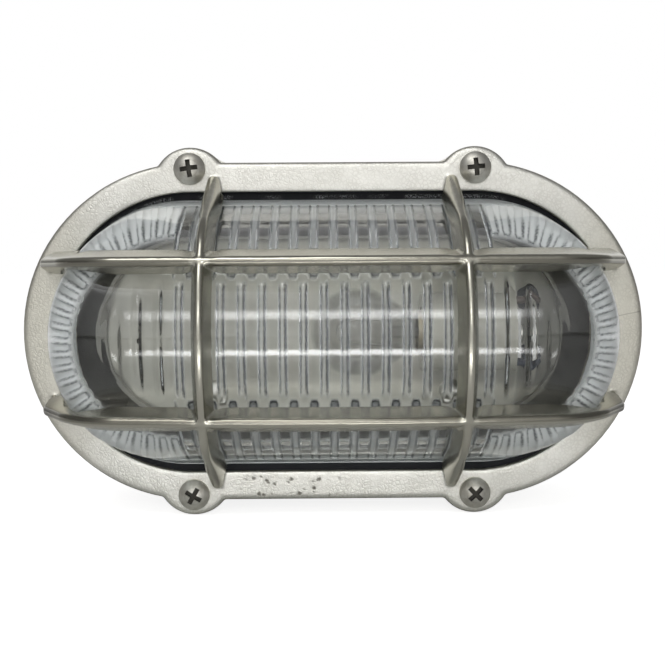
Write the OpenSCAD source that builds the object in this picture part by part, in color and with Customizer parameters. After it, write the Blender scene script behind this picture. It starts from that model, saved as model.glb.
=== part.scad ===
// Oval bulkhead light: cast base, fluted glass dome, screwed-on cast guard with a two-by-two cage.
// Drawn lying on its back, z away from the wall, then stood up against the wall by on_wall().

/* [Outline] */
// Length of the oval flange
flange_l = 200; // [185:1:225]
// Height of the oval flange, without the screw lugs
flange_w = 109; // [105:0.5:116]
// Depth of the cast base, wall to flange
base_depth = 38; // [36:0.5:46]
// Thickness of the guard's flange
flange_t = 6; // [5.5:0.1:8]
// Width of the flange's ring, outer edge to opening
flange_ring = 9.4; // [8.6:0.1:11]
// Rounding of the flange's front outer edge
edge_r = 1.8; // [1:0.1:2.4]

/* [Screw lugs] */
// Radius of the rounded screw lugs
lug_r = 12; // [11:0.1:13]
// Lug centre, measured in from the flange's straight edge
lug_inset = 7.1; // [6.4:0.1:8]
// Hollow radius where a lug runs into the straight edge
web_r = 9.5; // [4:0.1:12]
// Hollow radius where a lug runs into the round end
web_end_r = 6.5; // [3:0.1:8]
// Height of the lugs on the base
lug_h = 20; // [18:0.5:28]
// Guard screw centre, measured in from the flange's straight edge
screw_inset = 2.1; // [1.2:0.1:2.3]

/* [Cage] */
// Upright bars, offset from the middle
upright_x = 37.7; // [33:0.1:40]
// Level bars, offset from the middle
level_y = 22.8; // [19:0.1:25]
// Height of the upright bars over the flange
upright_h = 50; // [47:0.1:56]
// Foot of the upright bars, measured in from the flange's edge
upright_foot = 4; // [3:0.1:5]
// Lean of the upright bars' legs
upright_lean = 25; // [21:0.5:28]
// Shoulder radius of the upright bars
upright_rs = 25; // [20:0.5:28]
// Top of the upright bars' straight legs, measured down from the crown
upright_drop = 18.6; // [17:0.1:21]
// Blunt ends of the bars, measured in from the flange's edge
bar_foot = 4.9; // [4.2:0.1:6]
// Height of the level bars' blunt ends
level_tip = 15.5; // [12:0.1:18]
// Lean of the level bars' legs
level_lean = 31; // [26:0.5:34]
// Shoulder radius of the level bars
level_rs = 26; // [20:0.5:32]
// Crown radius of the level bars
level_rc = 500; // [400:10:800]
// Depth of the bars, front to back
bar_d = 8; // [7:0.1:9]
// Width of the bars' narrow front
bar_front = 2.2; // [1:0.1:3]
// Width of the bars' back
bar_back = 6.2; // [4.6:0.1:7]
// Depth of the bevel beside the bars' front
bar_bevel = 0.5; // [0.3:0.1:0.8]
// Clear space between cage and glass
cage_gap = 1; // [0.7:0.1:1.6]

/* [Glass] */
// Height of the dome over the flange
dome_h = 38; // [35:0.1:40]
// Lean of the dome's long sides
dome_lean = 24; // [16:0.5:28]
// Lean of the dome's ends
end_lean = 8; // [4:0.5:14]
// Shoulder radius of the dome's ends
end_rs = 19; // [14:0.5:24]
// How much further the glass reaches at its ends than along its sides
dome_reach = 1.5; // [0:0.1:1.8]
// Wall of the dome
dome_wall = 3.5; // [3:0.1:4.2]
// Wall of the straight collar under the dome
collar_wall = 3.3; // [2.8:0.1:3.4]
// Thickness of the glass foot
foot_t = 3.5; // [3:0.1:4]
// Reach of the glass foot behind the flange
foot_grip = 2.5; // [2.2:0.1:2.6]
// Height of the ribs inside the glass
rib_h = 1.2; // [0.6:0.1:1.3]
// Width of the ribs that run in from the rim
rib_w = 2.3; // [1.6:0.1:2.8]
// Spacing of the ribs along the oval
rib_pitch = 6; // [5:0.1:7]
// Inner tip of the side ribs, measured from the middle line
rib_tip = 18; // [15:0.5:22]
// Number of ribs round each end
end_ribs = 26; // [20:1:30]
// Inner tip of the end ribs, measured from the end's centre
end_rib_tip = 29; // [26:0.5:33]
// Width of the straight ribs under the crown
crown_rib_w = 2.4; // [1.6:0.1:2.8]

/* [Gaskets] */
// Gasket seen round the glass
gasket_show = 2.7; // [2.4:0.1:3.4]
// Thickness of the front gasket
front_gasket_t = 1.5; // [1.2:0.1:2]
// Thickness of the rear gasket
rear_gasket_t = 2; // [1.5:0.1:2.4]
// Depth of the glass seat in the base
seat_depth = 4; // [3.6:0.1:4.6]
// Width of the glass seat in the base
seat_w = 5; // [4:0.1:5.6]

/* [Guard screws] */
// Thread of the guard screws
screw_d = 5; // [4:0.1:5.2]
// Head of the guard screws
screw_head_d = 10; // [8.5:0.1:10.6]
// Head height of the guard screws
screw_head_h = 3.7; // [3:0.1:4.2]
// Length of the guard screws under the head
screw_l = 18; // [14:0.5:20]
// Span of the cross recess
recess_span = 5.6; // [4:0.1:6.2]
// Wing of the cross recess
recess_wing = 1.5; // [0.9:0.1:1.8]
// Depth of the cross recess
recess_depth = 2.2; // [1.4:0.1:2.6]

/* [Base inside] */
// Floor of the base
floor_t = 4; // [3.4:0.1:5]
// Side wall of the base
base_wall = 5; // [4.2:0.1:6]
// Thickness of the inward lip under the glass seat
seat_lip = 5; // [4:0.1:7]
// Diameter of the bosses round the guard screws
boss_d = 12; // [10.5:0.1:13]
// Metal left under the guard screws' tapped holes
boss_end = 4; // [3:0.1:6]
// Wall fixing holes, offset from the middle line's ends
fixing_inset = 32; // [28:0.5:36]
// Wall fixing holes
fixing_d = 5.5; // [4.5:0.1:6]
// Cable entry hole in the floor
entry_d = 16; // [13:0.5:18]
// Cable entry, offset to the left
entry_x = 40; // [34:0.5:44]
// Bore of the cable grommet
entry_bore = 8; // [5:0.5:9]
// Height of the grommet's collar over the floor
entry_collar = 2; // [1.5:0.1:3]
// Pillars under the tray, offset sideways
pillar_x = 40; // [38.5:0.5:42]
// Pillars under the tray, offset up and down
pillar_y = 22; // [21.5:0.5:24]
// Diameter of the pillars
pillar_d = 9; // [8:0.1:10]

/* [Tray] */
// Height of the tray over the floor
tray_h = 18; // [17:0.5:18.5]
// Sheet of the tray
tray_t = 1.2; // [1:0.1:1.5]
// End radius of the tray
tray_r = 33; // [31.5:0.1:34]
// Height of the tray's rim
tray_rim = 4; // [2.5:0.1:5]
// Thread of the tray screws
tray_screw_d = 4; // [3:0.1:4.2]
// Head of the tray screws
tray_head_d = 8; // [6.5:0.1:8.4]
// Head height of the tray screws
tray_head_h = 2.6; // [2:0.1:3]
// Length of the tray screws
tray_screw_l = 10; // [8:0.5:12]

/* [Lampholder] */
// Height of the lamp's axis over the tray
lamp_up = 21; // [20:0.5:24]
// Lampholder's back, measured in from the tray's end
holder_inset = 22.5; // [20.5:0.5:23.5]
// Diameter of the lampholder
holder_d = 25; // [24.6:0.1:26]
// Length of the lampholder
holder_l = 28; // [26:0.5:29]
// Floor of the lampholder
holder_floor = 6; // [5.5:0.1:6.5]
// Bore of the lampholder
holder_bore = 16; // [15.9:0.1:16.6]
// Wall of the screw shell
shell_t = 0.6; // [0.4:0.1:0.7]
// Height of the centre contact
contact_h = 3; // [2.4:0.1:3.4]
// Sheet of the lampholder's bracket
bracket_t = 2; // [1.5:0.1:2.5]
// Width of the bracket
bracket_w = 15; // [13:0.5:16]
// Foot of the bracket
bracket_foot = 18; // [16:0.5:20]
// Bracket's top, measured up from the lamp's axis
bracket_top = 12; // [11.5:0.1:13]
// Holder screws, offset from the lamp's axis
holder_screw_y = 8; // [7.6:0.1:8.4]
// Thread of the small screws and rivets
small_d = 3; // [2.5:0.1:3.2]
// Head of the small screws and rivets
small_head_d = 5.6; // [5:0.1:6]
// Head height of the small screws and rivets
small_head_h = 2; // [1.5:0.1:2.4]

/* [Lamp] */
// Diameter of the lamp's bulb
bulb_d = 28; // [24:0.5:29]
// Length of the bulb's straight part
bulb_run = 6; // [3:0.5:9]
// Length of the bulb's taper
bulb_taper = 13; // [10:0.5:15]
// Diameter of the lamp's neck
neck_d = 12.4; // [11.6:0.1:12.5]
// Wall of the lamp's glass
bulb_wall = 0.8; // [0.6:0.1:1]
// Diameter of the lamp's cap
cap_d = 13.9; // [13.7:0.1:14.1]
// Length of the lamp's cap
cap_l = 18; // [16:0.5:20]
// Wall of the lamp's cap
cap_wall = 0.5; // [0.4:0.1:0.6]
// Spread of the filament's two leads
lead_gap = 8; // [6:0.5:9]
// Diameter of the leads and filament
lead_d = 0.8; // [0.6:0.1:1]
// Length of the leads
lead_l = 11; // [8:0.5:13]

/* [Wiring] */
// Spacing of the terminal ways
way_pitch = 10; // [9.6:0.1:10.4]
// Depth of the terminal block
block_l = 16; // [14:0.5:18]
// Height of the terminal block
block_h = 12; // [11:0.5:13]
// Terminal block's middle, offset to the right
block_x = 26; // [24:0.5:27]
// Outside of the brass inserts
insert_d = 4.4; // [4:0.1:4.6]
// Outside of the wires
wire_d = 2.4; // [2:0.1:2.6]
// Bend radius of the wires
wire_bend = 5; // [4:0.1:6]
// Wires behind the holder, run before the bend
wire_run = 5; // [4.6:0.1:6]
// Earth screw, offset to the left
earth_x = 6; // [4:0.5:9]
// Height of the earth boss over the floor
earth_boss = 4.5; // [3.6:0.1:4.6]

/* [Fits] */
// Loose fit round glass, tray, wires and caps
fit_gap = 0.3; // [0.2:0.05:0.4]
// Close fit round screws and inserts
close_gap = 0.05; // [0.03:0.01:0.1]
// Clearance of through holes round their screws
hole_gap = 0.25; // [0.15:0.05:0.3]

/* [Hidden] */
$fa = 4;
$fs = 0.6;

// Overlap that lets cuts and joints run clean through
cut = 1;
// How far one arc of an arch ends inside its neighbour
lap = 0.002;
// How much higher the dome's ends are drawn than its vault, which trims them
end_rise = 0.4;
// Step from the collar to the dome's ends, and again to its vault, at the mould's parting line
parting = 0.15;
// How much fuller the bars' bends are drawn than the runs that end inside them
fuller = 0.03;
run_over = 0.3;

half_run = (flange_l - flange_w) / 2;
glass_run = half_run + dome_reach;
end_r = flange_w / 2;
opening_r = end_r - flange_ring;
foot_r = opening_r + foot_grip;
seat_r = foot_r + fit_gap;
collar_r = opening_r - gasket_show;
cavity_r = seat_r - seat_w;
screw_y = end_r - screw_inset;
lug_y = end_r - lug_inset;

z_seat = base_depth - seat_depth;
z_foot = z_seat + rear_gasket_t;
z_foot_top = z_foot + foot_t;
z_recess = z_foot_top + front_gasket_t;
z_face = base_depth + flange_t;

tray_z = floor_t + tray_h;
tray_top = tray_z + tray_t;
lamp_z = tray_top + lamp_up;
holder_r = holder_d / 2;
holder_x = half_run + tray_r - holder_inset;
bracket_x = holder_x + bracket_t;

// Turns for the four screw recesses: left low, left high, right low, right high
recess_turn = [-30, 8, 45, 5];

// Centre of an arch's shoulder, from its foot, lean, shoulder, crown and height
function shoulder(a, lean, rs, rc, h) =
    let (
        p = [a - rs * cos(lean), rc - h - rs * sin(lean)],
        u = [-sin(lean), cos(lean)],
        b = p * u,
        c = p * p - (rc - rs) * (rc - rs)
    )
    [p[0], p[1] + h - rc] + (sqrt(b * b - c) - b) * u;

// Crown radius of an arch whose straight legs end at "drop" below its top
function crown_r(a, lean, rs, drop, h) =
    let (
        x = a - (h - drop) * tan(lean) - rs * cos(lean),
        y = drop + rs * sin(lean)
    )
    (x * x + y * y - rs * rs) / (2 * (y - rs));

// Angle at which the shoulder meets the crown
function meet(s, rc, h) = atan2(s[1] - h + rc, s[0]);

// Height of a circular crown at a distance from its middle
function crown(h, rc, d) = h - rc + sqrt(rc * rc - d * d);

upright_a = end_r - upright_foot;
upright_rc = crown_r(upright_a, upright_lean, upright_rs, upright_drop, upright_h);
level_edge = half_run + sqrt(end_r * end_r - level_y * level_y) - bar_foot;
level_a = level_edge + level_tip * tan(level_lean);
cross_h = crown(upright_h, upright_rc, level_y);
level_h = cross_h + level_rc - sqrt(level_rc * level_rc - upright_x * upright_x);
end_a = collar_r - parting;
vault_a = end_a - parting;
vault_r = (vault_a * cos(dome_lean) - dome_h * sin(dome_lean)) / (1 - sin(dome_lean));
end_h = dome_h + end_rise - end_rs;
end_x = end_a - (end_rs + end_h * sin(end_lean)) / cos(end_lean);

// Stands the drawing up against the wall
module on_wall() rotate([90, 0, 0]) children();

// Oval of one end radius, its end centres at "run" from the middle
module oval(r, run = half_run) {
    square([2 * run, 2 * r], center = true);
    for (s = [-1, 1])
        translate([s * run, 0]) circle(r);
}

module slab(r, z0, z1, run = half_run) translate([0, 0, z0]) linear_extrude(z1 - z0) oval(r, run);

module oval_ring(r0, r1, z0, z1, run0 = half_run) translate([0, 0, z0]) linear_extrude(z1 - z0)
    difference() {
        oval(r1);
        oval(r0, run0);
    }

// Draws a half profile along x, on both sides of the middle
module along(l) rotate([90, 0, 90]) linear_extrude(l, center = true) {
    children();
    mirror([1, 0]) children();
}

// Carries a half profile round the oval
module around(run = half_run) {
    for (s = [-1, 1])
        translate([s * run, 0, 0])
            rotate(-90 * s) rotate_extrude(angle = 180) children();
    along(2 * run) children();
}

// Half section with a leaning side that runs into a circle, from its foot up, drawn smaller by "off"
module leaning_half(a, lean, c, r, off, foot) {
    far = 2 * r;
    reach = r - off - lap;
    polygon([
        [0, foot],
        [a - (off + lap) / cos(lean) - foot * tan(lean), foot],
        c + reach * [cos(lean), sin(lean)],
        c + [0, reach],
        [0, c[1] + reach]]);
    intersection() {
        translate(c) circle(r - off);
        translate([0, foot]) square([far, far]);
    }
}

// Domed solid inside or outside the glass: a vault trimmed by steeper round ends
module dome(off, foot) translate([0, 0, z_face]) intersection() {
    along(2 * (glass_run + end_r)) leaning_half(vault_a, dome_lean, [0, dome_h - vault_r], vault_r, off, foot);
    around(glass_run) leaning_half(end_a, end_lean, [end_x, end_h], end_rs, off, foot);
}

// Places a thing at each of the four screw lugs
module at_lugs(y) for (i = [0, 1], j = [0, 1])
    translate([(2 * i - 1) * half_run, (2 * j - 1) * y, 0]) children();

// Half profile of a plate with a rounded front edge
module edge_profile(r) {
    square([r - edge_r, flange_t]);
    square([r, flange_t - edge_r]);
    translate([r - edge_r, flange_t - edge_r]) circle(edge_r);
}

// Profile of the cutter that hollows a web, flared where the edge is rounded
module web_profile(r) {
    translate([0, -cut]) square([r, flange_t + 2 * cut]);
    difference() {
        translate([0, flange_t - edge_r]) square([r + edge_r, edge_r + cut]);
        translate([r + edge_r, flange_t - edge_r]) circle(edge_r);
    }
}

// Centres of the hollows beside a lug, in the first quarter
web_y = end_r + web_r;
web_x = half_run - sqrt((lug_r + web_r) * (lug_r + web_r) - (web_y - lug_y) * (web_y - lug_y));
end_reach = end_r + web_end_r;
lug_reach = lug_r + web_end_r;
web_end_y = (end_reach * end_reach - lug_reach * lug_reach + lug_y * lug_y) / (2 * lug_y);
web_end_x = half_run + sqrt(end_reach * end_reach - web_end_y * web_end_y);

module quarters() for (i = [0, 1], j = [0, 1])
    mirror([i, 0, 0]) mirror([0, j, 0]) children();

module web_plans() {
    polygon([[half_run, lug_y], [web_x, web_y], [web_x, lug_y]]);
    polygon([[half_run, lug_y], [web_end_x, web_end_y], [half_run, lug_y - lug_r / 2]]);
}

// Oval with four lugs, square-edged
module lugged_plan() {
    oval(end_r);
    for (i = [-1, 1], j = [-1, 1])
        translate([i * half_run, j * lug_y]) circle(lug_r);
    for (i = [0, 1], j = [0, 1])
        mirror([i, 0]) mirror([0, j])
            difference() {
                web_plans();
                translate([web_x, web_y]) circle(web_r + lap);
                translate([web_end_x, web_end_y]) circle(web_end_r + lap);
            }
}

// The guard's flange before its holes, rounded along the front edge
module flange() translate([0, 0, base_depth]) {
    around() edge_profile(end_r);
    at_lugs(lug_y) rotate_extrude() edge_profile(lug_r);
    quarters() difference() {
        linear_extrude(flange_t) web_plans();
        translate([web_x, web_y, 0]) rotate_extrude() web_profile(web_r + lap);
        translate([web_end_x, web_end_y, 0]) rotate_extrude() web_profile(web_end_r + lap);
    }
}

// Bar section, its front at radius r and its back towards the centre
module bar_section(r, more) polygon([
    [r + more, bar_front / 2 - bar_bevel + more],
    [r - bar_bevel, bar_front / 2 + more],
    [r - bar_d - more, bar_back / 2 + more],
    [r - bar_d - more, -bar_back / 2 - more],
    [r - bar_bevel, -bar_front / 2 - more],
    [r + more, bar_bevel - bar_front / 2 - more]]);

// One cage bar: two leaning legs, two shoulders and a crown
module bar(a, lean, rs, rc, h) {
    s = shoulder(a, lean, rs, rc, h);
    m = meet(s, rc, h);
    leg = (s[1] + rs * sin(lean)) / cos(lean);
    sunk = edge_r + cut;
    over = run_over / rc * 180 / PI;
    for (i = [0, 1])
        mirror([i, 0, 0]) {
            translate([a, 0, 0]) rotate(lean) rotate([-90, 0, 0])
                translate([0, 0, -sunk]) linear_extrude(leg + sunk + run_over) bar_section(0, 0);
            translate(s) rotate(lean) rotate_extrude(angle = m - lean) bar_section(rs, fuller);
        }
    translate([0, h - rc, 0]) rotate(m - over)
        rotate_extrude(angle = 180 - 2 * m + 2 * over) bar_section(rc, 0);
}

// Crossed bars, their feet cut off blunt on the flange
module cage() intersection() {
    translate([0, 0, z_face]) {
        for (i = [-1, 1])
            translate([i * upright_x, 0, 0]) rotate([90, 0, 90])
                bar(upright_a, upright_lean, upright_rs, upright_rc, upright_h);
        for (j = [-1, 1])
            translate([0, j * level_y, 0]) rotate([90, 0, 0])
                bar(level_a, level_lean, level_rs, level_rc, level_h);
    }
    slab(end_r - bar_foot, base_depth + cut, z_face + upright_h + cut);
}

// Screw or rivet standing on z = 0 with its shank below
module pan_screw(d, head_d, head_h, l) {
    edge_h = head_h / 3;
    r = head_d / 2;
    rise = head_h - edge_h;
    ball = (r * r + rise * rise) / (2 * rise);
    rotate_extrude() {
        translate([0, -l]) square([d / 2, l]);
        intersection() {
            translate([0, head_h - ball]) circle(ball);
            square([r, head_h]);
        }
    }
}

// Cross recess cut into a head from above
module cross_recess(head_h, span, wing, deep) translate([0, 0, head_h - deep]) {
    translate([-span / 2, -wing / 2, 0]) cube([span, wing, deep + cut]);
    translate([-wing / 2, -span / 2, 0]) cube([wing, span, deep + cut]);
}

// Straight slot cut into a head from above
module head_slot(head_d, head_h, wide, deep)
    translate([-head_d, -wide / 2, head_h - deep]) cube([2 * head_d, wide, deep + cut]);

// Cast base
fixing_x = half_run + end_r - fixing_inset;
tap_l = screw_l - flange_t + cut;
block_w = 3 * way_pitch;
block_screw_z = cut;

module base() color("#b9b4a6") on_wall() difference() {
    union() {
        difference() {
            union() {
                slab(end_r, 0, base_depth);
                translate([0, 0, base_depth - lug_h]) linear_extrude(lug_h) lugged_plan();
            }
            slab(end_r - base_wall, floor_t, z_seat - seat_lip);
            slab(cavity_r, floor_t, base_depth + cut);
            slab(seat_r, z_seat, base_depth + cut);
        }
        at_lugs(screw_y) translate([0, 0, base_depth - tap_l - boss_end])
            cylinder(tap_l + boss_end - seat_depth - cut, d = boss_d);
        for (i = [-1, 1], j = [-1, 1])
            translate([i * pillar_x, j * pillar_y, floor_t - cut]) cylinder(tray_h + cut, d = pillar_d);
        translate([-earth_x, 0, floor_t - cut]) cylinder(earth_boss + cut, d = pillar_d);
    }
    at_lugs(screw_y) translate([0, 0, base_depth - tap_l])
        cylinder(tap_l + cut, d = screw_d + 2 * close_gap);
    for (i = [-1, 1])
        translate([i * fixing_x, 0, -cut]) cylinder(floor_t + 2 * cut, d = fixing_d);
    translate([-entry_x, 0, -cut]) cylinder(floor_t + 2 * cut, d = entry_d);
    for (i = [-1, 1], j = [-1, 1])
        translate([i * pillar_x, j * pillar_y, tray_top - tray_screw_l - cut])
            cylinder(tray_screw_l + cut, d = tray_screw_d + 2 * close_gap);
    translate([-earth_x, 0, floor_t + earth_boss - tap_earth])
        cylinder(tap_earth + cut, d = tray_screw_d + 2 * close_gap);
    for (j = [-1, 1])
        translate([block_x, j * way_pitch / 2, block_screw_z - cut / 2])
            cylinder(floor_t, d = small_d + 2 * close_gap);
}

// Cast guard: flange, lugs and cage in one piece
module guard() color("#b4b1aa") on_wall() difference() {
    union() {
        flange();
        cage();
    }
    slab(opening_r, base_depth - cut, z_face);
    slab(seat_r, base_depth - cut, z_recess);
    dome(-cage_gap, 0);
    at_lugs(screw_y) translate([0, 0, base_depth - cut])
        cylinder(flange_t + 2 * cut, d = screw_d + 2 * hole_gap);
}

// Ribs of the glass seen from the front: in from the rim, and straight under the crown
module rib_plan() {
    n = floor(glass_run / rib_pitch);
    reach = collar_r;
    for (i = [-n : n], j = [-1, 1])
        translate([i * rib_pitch, j * rib_tip]) {
            translate([-rib_w / 2, j > 0 ? rib_w / 2 : -reach])
                square([rib_w, reach - rib_w / 2]);
            translate([0, j * rib_w / 2]) circle(d = rib_w);
        }
    for (s = [-1, 1], i = [0 : end_ribs - 1])
        translate([s * glass_run, 0]) rotate((i + 0.5) * 180 / end_ribs - 90 * s) {
            translate([end_rib_tip + rib_w / 2, -rib_w / 2]) square([reach - end_rib_tip, rib_w]);
            translate([end_rib_tip + rib_w / 2, 0]) circle(d = rib_w);
        }
    intersection() {
        oval(rib_tip, glass_run);
        for (i = [0 : 2 * n], s = [-1, 1])
            translate([s * (i + 0.5) * rib_pitch, 0]) square([crown_rib_w, 2 * rib_tip], center = true);
    }
}

// Pressed glass dome, smooth outside and ribbed inside
module glass() color("#cfe0e6", 0.6) on_wall() difference() {
    union() {
        slab(foot_r, z_foot, z_foot_top);
        slab(collar_r, z_foot, z_face, glass_run);
        dome(0, 0);
    }
    slab(collar_r - collar_wall, z_foot - cut, z_face, glass_run);
    dome(dome_wall + rib_h, -cut);
    difference() {
        dome(dome_wall, -cut);
        translate([0, 0, z_face]) linear_extrude(dome_h) rib_plan();
    }
}

// Rubber gaskets in front of and behind the glass foot
module front_gasket() color("#1d1e1f") on_wall()
    oval_ring(collar_r + fit_gap, foot_r, z_foot_top, z_recess, glass_run);

module rear_gasket() color("#1d1e1f") on_wall()
    oval_ring(cavity_r, foot_r, z_seat, z_foot);

// Four cross-recessed pan-head screws
module guard_screws() color("#c2c1bd") on_wall() for (i = [0, 1], j = [0, 1])
    translate([(2 * i - 1) * half_run, (2 * j - 1) * screw_y, z_face]) difference() {
        pan_screw(screw_d, screw_head_d, screw_head_h, screw_l);
        rotate(recess_turn[2 * i + j]) cross_recess(screw_head_h, recess_span, recess_wing, recess_depth);
    }

// Enamelled reflector tray on the four pillars
wire_y = way_pitch;
wire_x = holder_x + wire_run + wire_bend;
grommet_d = wire_d + 2 * fit_gap + 3;
rivet_x = holder_x - bracket_foot / 2;
rivet_y = bracket_w / 4;

module reflector_tray() color("#e6e1d2") on_wall() difference() {
    union() {
        slab(tray_r, tray_z, tray_top);
        oval_ring(tray_r - tray_t, tray_r, tray_z, tray_top + tray_rim);
    }
    for (i = [-1, 1], j = [-1, 1])
        translate([i * pillar_x, j * pillar_y, tray_z - cut])
            cylinder(tray_t + 2 * cut, d = tray_screw_d + 2 * hole_gap);
    for (j = [-1, 1]) {
        translate([wire_x, j * wire_y, tray_z - cut]) cylinder(tray_t + 2 * cut, d = grommet_d + 2 * close_gap);
        translate([rivet_x, j * rivet_y, tray_z - cut]) cylinder(tray_t + 2 * cut, d = small_d + 2 * close_gap);
    }
}

module tray_screws() color("#c2c1bd") on_wall() for (i = [-1, 1], j = [-1, 1])
    translate([i * pillar_x, j * pillar_y, tray_top]) difference() {
        pan_screw(tray_screw_d, tray_head_d, tray_head_h, tray_screw_l);
        head_slot(tray_head_d, tray_head_h, tray_head_h / 2.4, tray_head_h / 2.4);
    }

// Bent steel bracket that carries the lampholder
module lampholder_bracket() color("#9a9a98") on_wall() difference() {
    union() {
        translate([holder_x - bracket_foot, -bracket_w / 2, tray_top])
            cube([bracket_foot + bracket_t, bracket_w, bracket_t]);
        translate([holder_x, -bracket_w / 2, tray_top])
            cube([bracket_t, bracket_w, lamp_up + bracket_top]);
    }
    for (j = [-1, 1]) {
        translate([rivet_x, j * rivet_y, tray_top - cut]) cylinder(bracket_t + 2 * cut, d = small_d + 2 * close_gap);
        translate([holder_x - cut, 0, lamp_z + j * holder_screw_y]) rotate([0, 90, 0])
            cylinder(bracket_t + 2 * cut, d = small_d + 2 * hole_gap);
    }
}

module bracket_rivets() color("#c2c1bd") on_wall() for (j = [-1, 1])
    translate([rivet_x, j * rivet_y, tray_top + bracket_t]) {
        pan_screw(small_d, small_head_d, small_head_h, bracket_t + tray_t);
        translate([0, 0, -bracket_t - tray_t]) rotate([180, 0, 0])
            pan_screw(small_d, small_head_d, small_head_h, bracket_t);
    }

module holder_screws() color("#c2c1bd") on_wall() for (j = [-1, 1])
    translate([bracket_x, 0, lamp_z + j * holder_screw_y]) rotate([0, 90, 0]) difference() {
        pan_screw(small_d, small_head_d, small_head_h, bracket_t + holder_floor - cut);
        head_slot(small_head_d, small_head_h, small_head_h / 2.4, small_head_h / 2.4);
    }

// Turns a part drawn upwards so that it points left along the lamp's axis
module lamp_axis() translate([holder_x, 0, lamp_z]) rotate([0, -90, 0]) children();

// Half profile spun about the lamp's axis
module tube(r0, r1, s0, s1) translate([0, 0, s0]) linear_extrude(s1 - s0)
    difference() {
        circle(r1);
        circle(r0);
    }

module lampholder_body() color("#ece9e0") on_wall() difference() {
    lamp_axis() difference() {
        cylinder(holder_l, r = holder_r);
        translate([0, 0, holder_floor]) cylinder(holder_l, d = holder_bore);
        for (j = [-1, 1]) {
            translate([j * holder_screw_y, 0, -cut]) cylinder(holder_floor + cut, d = small_d + 2 * close_gap);
            translate([0, j * wire_y, -cut]) cylinder(holder_floor, d = wire_d + 2 * fit_gap);
        }
    }
}

shell_r = holder_bore / 2 - close_gap;
module lampholder_shell() color("#b08d4a") on_wall() lamp_axis()
    tube(shell_r - shell_t, shell_r, holder_floor, holder_l - cut);

contact_r = 2;
module lampholder_contact() color("#b08d4a") on_wall() lamp_axis()
    translate([0, 0, holder_floor]) cylinder(contact_h, r = contact_r);

// Clear lamp: cap, insulator and contact, then envelope, stem and filament
contact_t = 0.6;
insulator_t = 1.4;
s_contact = holder_floor + contact_h + fit_gap;
s_insulator = s_contact + contact_t;
s_cap = s_insulator + insulator_t;
s_cap_end = s_cap + cap_l;
neck_in = 6;
s_neck = s_cap_end - neck_in;
s_taper = s_cap_end + close_gap + cut;
s_bulb = s_taper + bulb_taper;
s_ball = s_bulb + bulb_run;

module lamp_contact() color("#a8a8a6") on_wall() lamp_axis()
    translate([0, 0, s_contact]) cylinder(contact_t, r = contact_r);

module lamp_insulator() color("#2b2a2e") on_wall() lamp_axis()
    translate([0, 0, s_insulator]) cylinder(insulator_t, d1 = 3 * contact_r, d2 = cap_d - 2 * cap_wall);

module lamp_cap() color("#c9b27a") on_wall() lamp_axis() difference() {
    translate([0, 0, s_cap]) cylinder(cap_l, d = cap_d);
    translate([0, 0, s_cap + cap_wall]) cylinder(cap_l, d = cap_d - 2 * cap_wall);
}

// Half profile of the bulb, drawn smaller by "off"
module bulb_profile(off) {
    polygon([
        [0, s_neck + off],
        [neck_d / 2 - off, s_neck + off],
        [neck_d / 2 - off, s_taper],
        [bulb_d / 2 - off, s_bulb],
        [bulb_d / 2 - off, s_ball],
        [0, s_ball]]);
    intersection() {
        translate([0, s_ball]) circle(bulb_d / 2 - off);
        translate([0, s_ball - cut]) square([bulb_d, bulb_d]);
    }
}

module lamp_envelope() color("#dfe8ea", 0.4) on_wall() lamp_axis() difference() {
    rotate_extrude() bulb_profile(0);
    rotate_extrude() bulb_profile(bulb_wall);
}

stem_r = 2;
press_w = lead_gap + 2 * lead_d;
s_press = s_taper + bulb_taper / 2;
press_h = 3;
module lamp_stem() color("#dfe8ea", 0.6) on_wall() lamp_axis() {
    translate([0, 0, s_neck + bulb_wall]) cylinder(cut, r = neck_d / 2 - bulb_wall - fit_gap);
    translate([0, 0, s_neck + bulb_wall]) cylinder(s_press - s_neck, r = stem_r);
    translate([-stem_r / 2, -press_w / 2, s_press]) cube([stem_r, press_w, press_h]);
}

module lamp_filament() color("#55504a") on_wall() lamp_axis() translate([0, 0, s_press + press_h]) {
    for (j = [-1, 1])
        translate([0, j * lead_gap / 2, 0]) cylinder(lead_l, d = lead_d);
    translate([0, 0, lead_l]) rotate([0, -90, 0]) rotate(-90)
        rotate_extrude(angle = 180) translate([lead_gap / 2, 0]) circle(d = lead_d);
}

// Three-way terminal block on the floor of the base
way_z = floor_t + block_h / 2;
insert_bore = wire_d + 2 * fit_gap;
clamp_d = small_d - 0.4;
clamp_x = block_l / 4;

module block_ways(d, l) for (j = [-1 : 1])
    translate([block_x - l / 2, j * way_pitch, way_z]) rotate([0, 90, 0]) cylinder(l, d = d);

module block_clamps(d, z0, z1) for (i = [-1, 1], j = [-1 : 1])
    translate([block_x + i * clamp_x, j * way_pitch, z0]) cylinder(z1 - z0, d = d);

module terminal_block() color("#f0efe9") on_wall() difference() {
    translate([block_x - block_l / 2, -block_w / 2, floor_t]) cube([block_l, block_w, block_h]);
    block_ways(insert_d + 2 * close_gap, block_l + 2 * cut);
    block_clamps(small_d + 2 * close_gap, way_z, floor_t + block_h + cut);
    for (j = [-1, 1])
        translate([block_x, j * way_pitch / 2, floor_t - cut])
            cylinder(block_h + 2 * cut, d = small_d + 2 * hole_gap);
}

module terminal_inserts() color("#b08d4a") on_wall() difference() {
    block_ways(insert_d, block_l - cut);
    block_ways(insert_bore, block_l + cut);
    block_clamps(clamp_d + 2 * close_gap, way_z, floor_t + block_h);
}

module terminal_screws() color("#c2c1bd") on_wall() difference() {
    union() {
        block_clamps(clamp_d, way_z + wire_d / 2 + fit_gap, floor_t + block_h - cut);
    }
    for (i = [-1, 1])
        translate([block_x + i * clamp_x - cut / 4, -block_w, floor_t + block_h - 2 * cut])
            cube([cut / 2, 2 * block_w, 2 * cut]);
}

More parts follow.
